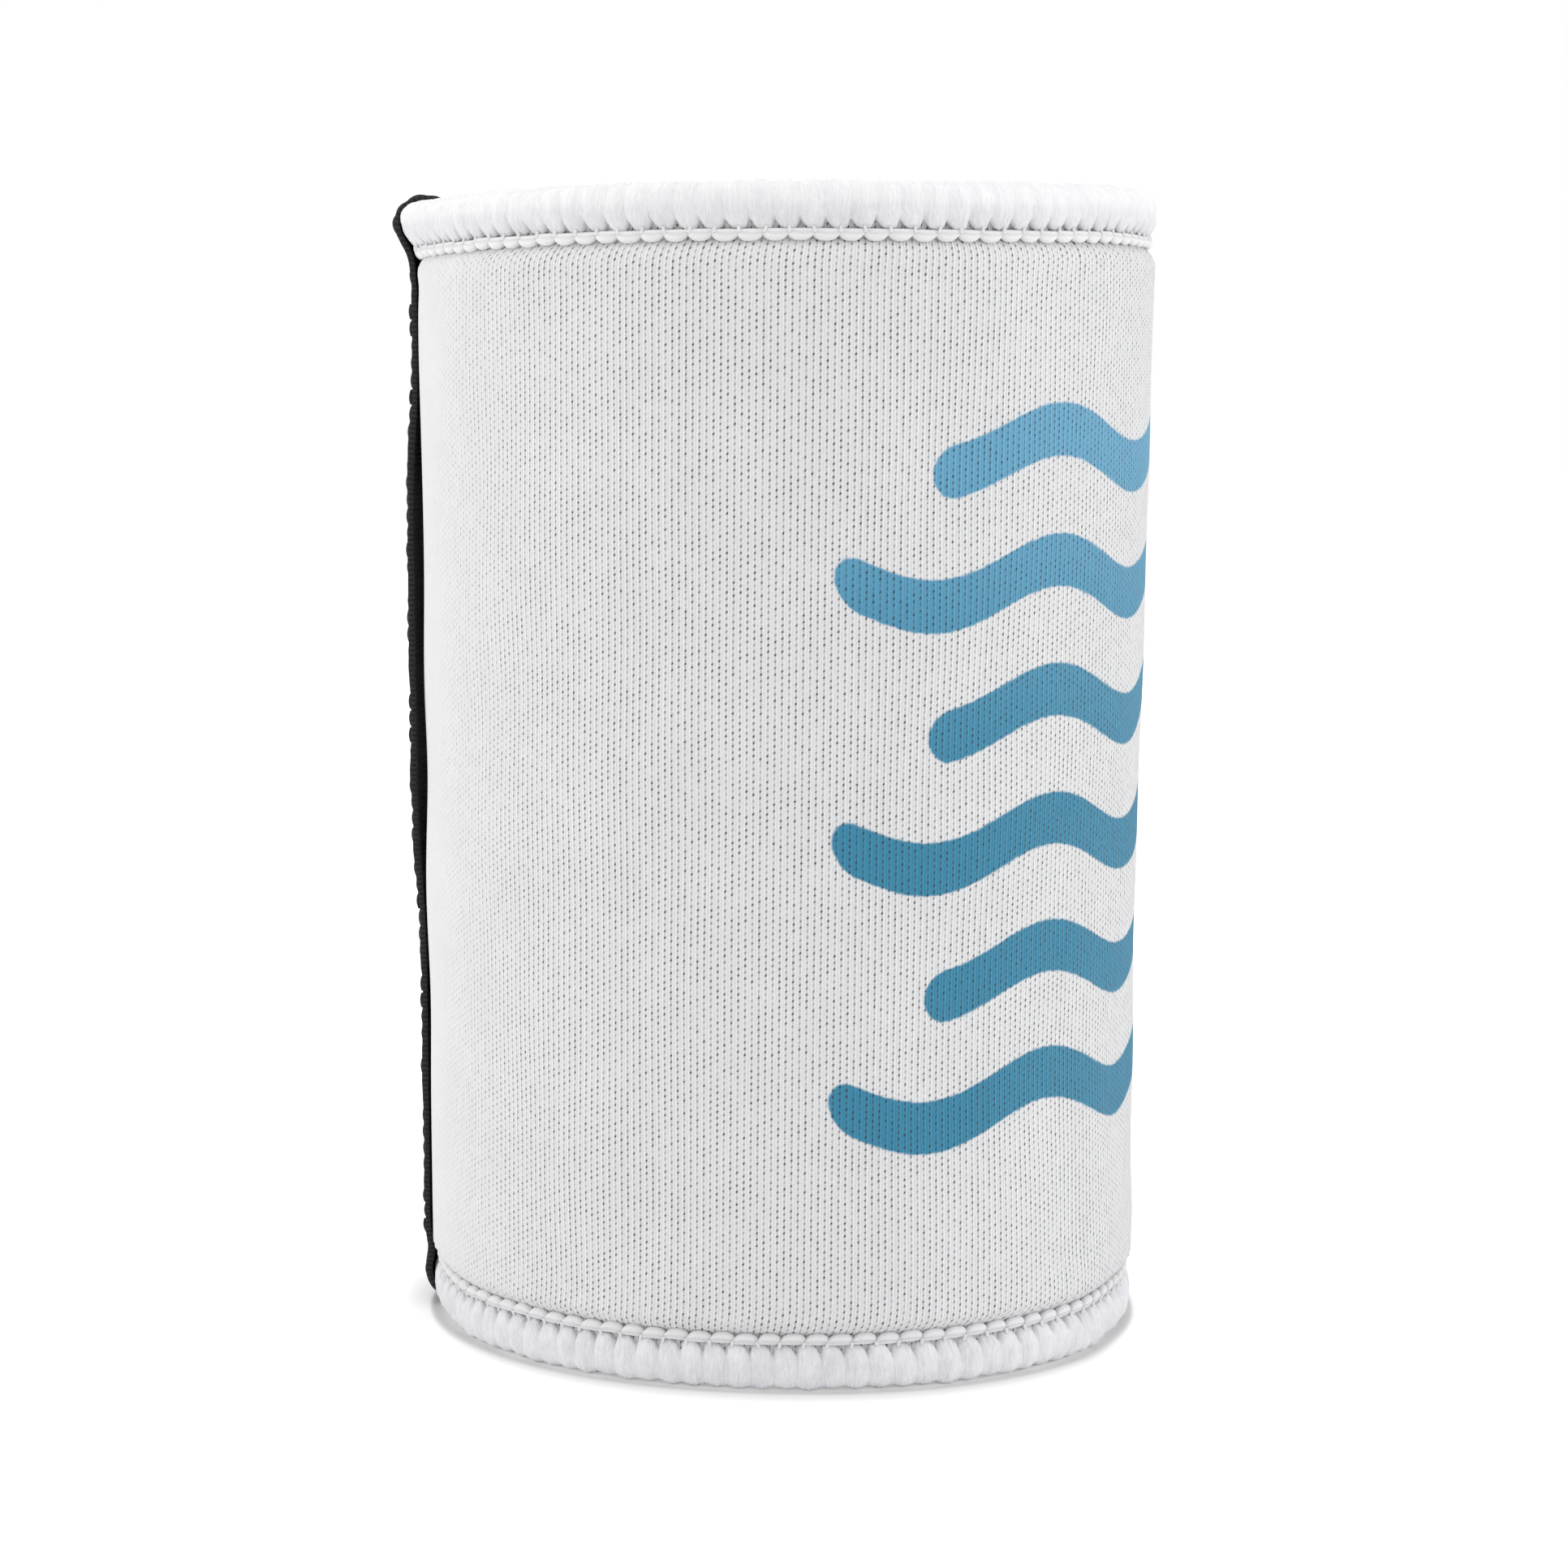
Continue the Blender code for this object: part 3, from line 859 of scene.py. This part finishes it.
def needle_ties(name, side, material, seed):
    """Short needle threads that rise from between two loops into each wrap."""
    random = np.random.default_rng(seed)
    ring = open_ring(STITCH_COUNT)
    centre = (ring[:-1] + ring[1:]) / 2
    along = np.linspace(0, 1, TIE_STEPS)
    around = around_thread(TIE_SIDES)
    thick = TIE_RADIUS * (1 - TIE_TAPER * along)
    lean = TIE_LEAN * random.normal(0, 1, STITCH_COUNT)
    line = centre[:, None] + lean[:, None] * along[None, :] / MID_RADIUS
    depth = CHAIN_TOP + TIE_START - TIE_LENGTH * along
    offset = -TIE_SETBACK - TIE_SINK * along**2
    angle = line[:, :, None] + (thick[None, :, None] * np.cos(around)) / MID_RADIUS
    out = offset[None, :, None] + thick[None, :, None] * np.sin(around)
    down = np.broadcast_to(depth[None, :, None], angle.shape)
    out = np.broadcast_to(out, angle.shape)
    uv = np.stack([angle * MID_RADIUS / MM, down / MM], axis=-1)
    piece = lattice(name, side(angle, out, down), uv, [material])
    return piece


def bow(height):
    """How far the tape stands off the wall."""
    start, end = STITCH_DEPTH + BOW_FOOT, HEIGHT - STITCH_DEPTH - BOW_HEAD
    rise = smooth(height, start, start + BOW_RAMP)
    return BOW_DEPTH * rise * (1 - smooth(height, end - BOW_RAMP, end))


def through(points, steps):
    """Evenly spaced points along a smooth curve through the given ones."""
    points = np.asarray(points, dtype=float)
    ends = np.concatenate([[2 * points[0] - points[1]], points, [2 * points[-1] - points[-2]]])
    share = np.linspace(0, 1, 12, endpoint=False)[:, None]
    runs = []
    for a, b, c, d in zip(ends, ends[1:], ends[2:], ends[3:]):
        bend = 2 * b + (c - a) * share + (2 * a - 5 * b + 4 * c - d) * share**2
        runs.append((bend + (3 * b - a - 3 * c + d) * share**3) / 2)
    fine = np.concatenate([*runs, points[-1:]])
    path = lengths_along(fine)
    even = np.linspace(0, path[-1], steps)
    return np.stack([np.interp(even, path, fine[:, i]) for i in (0, 1)], axis=-1), path[-1]


def tape_path():
    """Radius and height of the tape's back, from under the foot, up the wall and over the rim."""
    half = FOOT_WIDTH / 2
    settled = CHAIN_LINE + CHAIN_HEIGHT / 2 + TAPE_SETTLE
    tread = np.array([(BEAD_CENTRE - half, -FIT_GAP), (BEAD_CENTRE + half, -FIT_GAP)])
    over_chain = np.array([(FIT_GAP - CHAIN_SETBACK, CHAIN_LINE)])
    foot = np.concatenate([tread, around_edge(-FIT_GAP, 60, 0, 3), over_chain, [(FIT_GAP, settled)]])
    rim = np.concatenate([[(FIT_GAP, settled)], over_chain, around_edge(-FIT_GAP, 0, 180, 9)])
    tail = [(-WALL_THICKNESS - FIT_GAP, depth) for depth in (CHAIN_LINE, TAPE_TAIL)]
    rim = np.concatenate([rim, tail])
    heights = np.linspace(settled, HEIGHT - settled, 18)[1:-1]
    foot[:, 0] += wall_face(foot[:, 1])
    rim[:, 1] = HEIGHT - rim[:, 1]
    rim[:, 0] += wall_face(rim[:, 1])
    middle = np.stack([wall_face(heights) + FIT_GAP + bow(heights), heights], axis=-1)
    return through(np.concatenate([foot, middle, rim]), TAPE_STEPS)


def seam_tape(material):
    """The woven tape over the butted seam, with edges pinched at each of its stitches."""
    path, length = tape_path()
    out = right_of_path(path)
    along = np.linspace(0, length, TAPE_STEPS)
    across = np.linspace(-1, 1, TAPE_COLUMNS)
    pinch = 0.5 + 0.5 * np.cos(along / TAPE_STITCH * math.tau)
    edge_ripple = EDGE_RIPPLE * ripple(along, 0, EDGE_RIPPLE_LENGTH, seed=21)
    half = TAPE_WIDTH / 2 - PINCH_DEPTH * pinch + edge_ripple
    shift = half[:, None] * across[None, :]
    from_stitches = np.abs(shift) - (TAPE_WIDTH / 2 - TAPE_MARGIN)
    seam_line = np.exp(-((from_stitches / SEAM_LINE_WIDTH) ** 2))
    rise = FACE_RIPPLE * ripple(shift, along[:, None], FACE_RIPPLE_LENGTH, seed=22)
    rise = rise - PINCH_DEPTH * pinch[:, None] * seam_line
    curl = EDGE_CURL * (np.abs(across) ** 8)[None, :]
    back = path[:, None, :] + np.zeros((1, TAPE_COLUMNS, 2))
    front = path[:, None, :] + out[:, None, :] * (TAPE_THICKNESS + rise - curl)[..., None]
    section = np.concatenate([back, front[:, ::-1]], axis=1)
    section[..., 1] = np.maximum(section[..., 1], FLOOR_CLEARANCE - FOOT_LIFT)
    both_shifts = np.concatenate([shift, shift[:, ::-1]], axis=1)
    points = place(SEAM_ANGLE + both_shifts / MID_RADIUS, section[..., 0], section[..., 1])
    across_mm = both_shifts / MM
    uv = np.stack([across_mm, np.broadcast_to(along[:, None] / MM, across_mm.shape)], axis=-1)
    piece = lattice("tape", points[None], uv[None], [material])
    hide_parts("seam_tape")
    return piece, length


def tape_stitches(material):
    """Two rows of black stitches that hold the tape down."""
    path, length = tape_path()
    out = right_of_path(path)
    first, last = STITCHES_START, length - STITCHES_END
    starts = np.arange(first, last - TAPE_STITCH, TAPE_STITCH)
    share = np.linspace(STITCH_INSET, 1 - STITCH_INSET, STITCH_STEPS)
    around = around_thread(STITCH_SIDES)
    place_along = starts[:, None] + TAPE_STITCH * share[None, :]
    even = np.linspace(0, length, TAPE_STEPS)
    middle = np.stack([np.interp(place_along, even, path[:, i]) for i in (0, 1)], axis=-1)
    normal = np.stack([np.interp(place_along, even, out[:, i]) for i in (0, 1)], axis=-1)
    arch = np.sin(math.pi * share)
    thick = STITCH_RADIUS * (STITCH_THIN + (1 - STITCH_THIN) * arch)
    lift = TAPE_THICKNESS - STITCH_SINK + STITCH_ARCH * arch
    random = np.random.default_rng(91)
    rows = []
    for side in (-1, 1):
        uneven = STITCH_UNEVEN * random.normal(0, 1, len(starts))
        rise = lift[None, :, None] + uneven[:, None, None] + thick[None, :, None] * np.sin(around)
        spot = middle[:, :, None, :] + normal[:, :, None, :] * rise[..., None]
        aside = side * (TAPE_WIDTH / 2 - TAPE_MARGIN) + thick[None, :, None] * np.cos(around)
        turn = np.broadcast_to(SEAM_ANGLE + aside / MID_RADIUS, spot.shape[:-1])
        rows.append(place(turn, spot[..., 0], spot[..., 1]))
    points = np.concatenate(rows)
    uv = np.stack([points[..., 0] / MM, points[..., 2] / MM], axis=-1)
    piece = lattice("tape_stitches", points, uv, [material])
    return piece


def base_edge(height):
    """Radius of the base: narrow between the bead's inner sides, and out to the lining above them."""
    at_bead = BEAD_CENTRE - BEAD_RADIUS
    freed = np.clip((height - BEAD_RADIUS) / (STITCH_DEPTH - BEAD_RADIUS), 0, 1)
    room = FIT_GAP + lining_dip(height)
    filled = (room - BASE_GAP) * smooth(height, STITCH_DEPTH + FILL_START, STITCH_DEPTH + FILL_END)
    return wall_face(height) + at_bead + (-WALL_THICKNESS - at_bead) * freed - FIT_GAP + filled


def base_pad(material):
    """The base: foam faced with knitted cloth, with softened edges."""
    low, high = BASE_RECESS, BASE_RECESS + BASE_THICKNESS
    soft = BASE_SOFTNESS
    low_reach, high_reach = base_edge(low) - soft, base_edge(high) - soft
    corner = np.radians(np.linspace(0, 90, 6))
    rim = np.linspace(low + soft, high - soft, 7)[1:]
    inward = np.linspace(1, PAD_HUB, PAD_STEPS) ** PAD_CROWDING
    under = np.stack([low_reach * inward[::-1], np.full(PAD_STEPS, low)], axis=-1)
    turn_low = np.stack([low_reach + soft * np.sin(corner), low + soft - soft * np.cos(corner)], axis=-1)
    side = np.stack([base_edge(rim), rim], axis=-1)
    turn_high = np.stack([high_reach + soft * np.cos(corner), high - soft + soft * np.sin(corner)], axis=-1)
    over = np.stack([high_reach * inward, np.full(PAD_STEPS, high)], axis=-1)
    profile = np.concatenate([under, turn_low[1:], side, turn_high, over[1:]])
    columns = STITCH_COUNT * 2
    turn = SEAM_ANGLE + np.linspace(0, math.tau, columns, endpoint=False)
    angle = np.broadcast_to(turn[:, None], (columns, len(profile)))
    radius = np.broadcast_to(profile[:, 0], angle.shape)
    height = np.broadcast_to(profile[:, 1], angle.shape)
    points = place(angle, radius, height)
    uv = points[..., :2] / MM
    piece = lattice("base", points[None], uv[None], [material], ring=True)
    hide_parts("base_disc")
    return piece


def seen_ray(tree):
    """1 for rays that come straight, mirrored or through glass from the camera."""
    path = tree.nodes.new("ShaderNodeLightPath")
    direct = Field(path.outputs["Is Camera Ray"])
    mirrored = Field(path.outputs["Is Glossy Ray"])
    passed = Field(path.outputs["Is Transmission Ray"])
    return direct.maths("MAXIMUM", mirrored).maths("MAXIMUM", passed)


def floor_finish():
    """White for the light's own rays, and for the camera white with a soft shadow round the foot, partly
    cast and partly painted: a darker tone and less glow near the foot, a painted light strip just under it,
    widest on the camera's side.
    """
    material = bpy.data.materials.new("floor_white")
    material.use_nodes = True
    tree = material.node_tree
    tree.nodes.clear()
    output = tree.nodes.new("ShaderNodeOutputMaterial")
    matt = tree.nodes.new("ShaderNodeBsdfDiffuse")
    matt.inputs["Color"].default_value = FLOOR_TONE
    painted_shadow_matt = tree.nodes.new("ShaderNodeBsdfDiffuse")
    glow = tree.nodes.new("ShaderNodeEmission")
    glow.inputs["Color"].default_value = (1, 1, 1, 1)
    place_on_floor = tree.nodes.new("ShaderNodeNewGeometry")
    split = tree.nodes.new("ShaderNodeSeparateXYZ")
    tree.links.new(place_on_floor.outputs["Position"], split.inputs[0])
    right, back = Field(split.outputs[0]), Field(split.outputs[1]) - AXIS_Y
    far = (right * right + back * back).maths("SQRT")
    front = back * -1.0 / far
    swell = front.between(SWELL_START, SWELL_FULL, 0.0, FOOT_SWELL)
    swell = swell * front.between(SWELL_FULL, 1.0, 1.0, 1.0 - SWELL_DROP)
    clear = far - swell - wall_face(0)
    forward = (right * math.sin(PAINTED_SHADOW_HEADING) - back * math.cos(PAINTED_SHADOW_HEADING)) / far
    forward = forward.maths("MAXIMUM", 0.0)
    outward = clear / (forward * forward * PAINTED_SHADOW_FALL + PAINTED_SHADOW_EDGE)
    # Painted light just under the foot, then a painted shadow where the glow stays low beside it
    under = clear.between(*UNDER_PLACES, *UNDER_PAINTED_LIGHT) * forward.between(*HEADING_PLACES, *HEADING_SHARES)
    beside = outward.between(*BESIDE_PLACES, *PAINTED_SHADOW_GLOWS)
    feed(glow.inputs["Strength"], under + beside + outward.between(*OPEN_PLACES, *OPEN_GLOWS))
    # Painted shadow: a darker floor tone near the foot, on top of the cast one
    feed(painted_shadow_matt.inputs["Color"], clear.between(*PAINTED_SHADOW_PLACES, *PAINTED_SHADOW_TONES))
    both = tree.nodes.new("ShaderNodeAddShader")
    choose = tree.nodes.new("ShaderNodeMixShader")
    tree.links.new(painted_shadow_matt.outputs[0], both.inputs[0])
    tree.links.new(glow.outputs[0], both.inputs[1])
    feed(choose.inputs[0], seen_ray(tree))
    tree.links.new(matt.outputs[0], choose.inputs[1])
    tree.links.new(both.outputs[0], choose.inputs[2])
    tree.links.new(choose.outputs[0], output.inputs[0])
    return material


def white_floor():
    """A large white floor at the height of the foot."""
    reach = FLOOR_REACH
    corners = [(-reach, -reach, 0), (reach, -reach, 0), (reach, reach, 0), (-reach, reach, 0)]
    mesh = bpy.data.meshes.new("floor")
    mesh.from_pydata(corners, [], [(0, 1, 2, 3)])
    mesh.materials.append(floor_finish())
    floor = bpy.data.objects.new("floor", mesh)
    bpy.context.scene.collection.objects.link(floor)


def white_world():
    """A white world that lights the scene a little less than the camera sees."""
    world = bpy.data.worlds.new("studio")
    bpy.context.scene.world = world
    world.use_nodes = True
    light = world.node_tree.nodes["Background"]
    feed(light.inputs["Strength"], seen_ray(world.node_tree).between(0.0, 1.0, WORLD_LIGHT, 1.0))
    light.inputs["Color"].default_value = (1, 1, 1, 1)


def lamps():
    """Large soft lamps, all aimed at the sleeve's middle."""
    aim = Vector((0, AXIS_Y, HEIGHT / 2))
    for name, turn, distance, height, size, watts, colour in LAMPS:
        heading = CAMERA_TURN + math.radians(turn)
        data = bpy.data.lights.new(name, "AREA")
        data.shape = "SQUARE"
        data.size = size
        data.energy = watts
        data.color = colour
        lamp = bpy.data.objects.new(name, data)
        lamp.location = (math.sin(heading) * distance, -math.cos(heading) * distance, height)
        lamp.rotation_euler = (aim - lamp.location).to_track_quat("-Z", "Y").to_euler()
        bpy.context.scene.collection.objects.link(lamp)


def photograph_camera():
    """The camera at the photograph's viewing angle."""
    data = bpy.data.cameras.new("camera")
    data.lens = CAMERA_LENS
    data.sensor_fit = "HORIZONTAL"
    data.sensor_width = SENSOR_WIDTH
    data.clip_start = CLIP_START
    camera = bpy.data.objects.new("camera", data)
    toward = Vector((math.sin(CAMERA_TURN), -math.cos(CAMERA_TURN), 0))
    right = Vector((math.cos(CAMERA_TURN), math.sin(CAMERA_TURN), 0))
    spot = toward * CAMERA_DISTANCE + right * CAMERA_ASIDE + Vector((0, AXIS_Y, CAMERA_HEIGHT))
    aimed = Matrix.Rotation(CAMERA_TURN, 4, "Z") @ Matrix.Rotation(math.pi / 2 - CAMERA_TILT, 4, "X")
    camera.matrix_world = Matrix.Translation(spot) @ aimed @ Matrix.Rotation(CAMERA_ROLL, 4, "Z")
    bpy.context.scene.collection.objects.link(camera)
    bpy.context.scene.camera = camera


photograph_camera()
white_floor()
white_world()
lamps()

fluffy_rim = woolly("fluffy_rim", RIM_TONES, RIM_CREST_HIGHLIGHT)
# A darker, bluer copy of the woolly thread: painted shade on the foot
fluffy_foot_shaded = woolly("fluffy_foot_shaded", FOOT_SHADED_TONES, 0.0)
loop_white = twisted("loop_white", RIM_LOOP_TONE)
# A darker copy of the loop thread: painted shade, used on the foot's chain and on the ties of both hems
loop_shaded = twisted("loop_shaded", SHADED_LOOP_TONE)
stitch_black = twisted("stitch_black", STITCH_TONE)

sleeve = sleeve_sheet([printed_knit(), black_knit()])
hem_wraps("rim_wraps", at_rim, "top_hem_wraps", fluffy_rim, tread=False, seed=31)
hem_wraps("foot_wraps", at_foot, "bottom_hem_wraps", fluffy_foot_shaded, tread=True, seed=41)
hem_chain("rim_chain", at_rim, "top_hem_chain", loop_white, -LOOP_SLANT, seed=51)
hem_chain("foot_chain", at_foot, "bottom_hem_chain", loop_shaded, LOOP_SLANT, seed=61)
needle_ties("rim_ties", at_rim, loop_shaded, seed=71)
needle_ties("foot_ties", at_foot, loop_shaded, seed=81)
tape, tape_length = seam_tape(woven_tape())
stitches = tape_stitches(stitch_black)
base_pad(black_knit("base_knit"))

bpy.context.scene.view_settings.view_transform = "Standard"
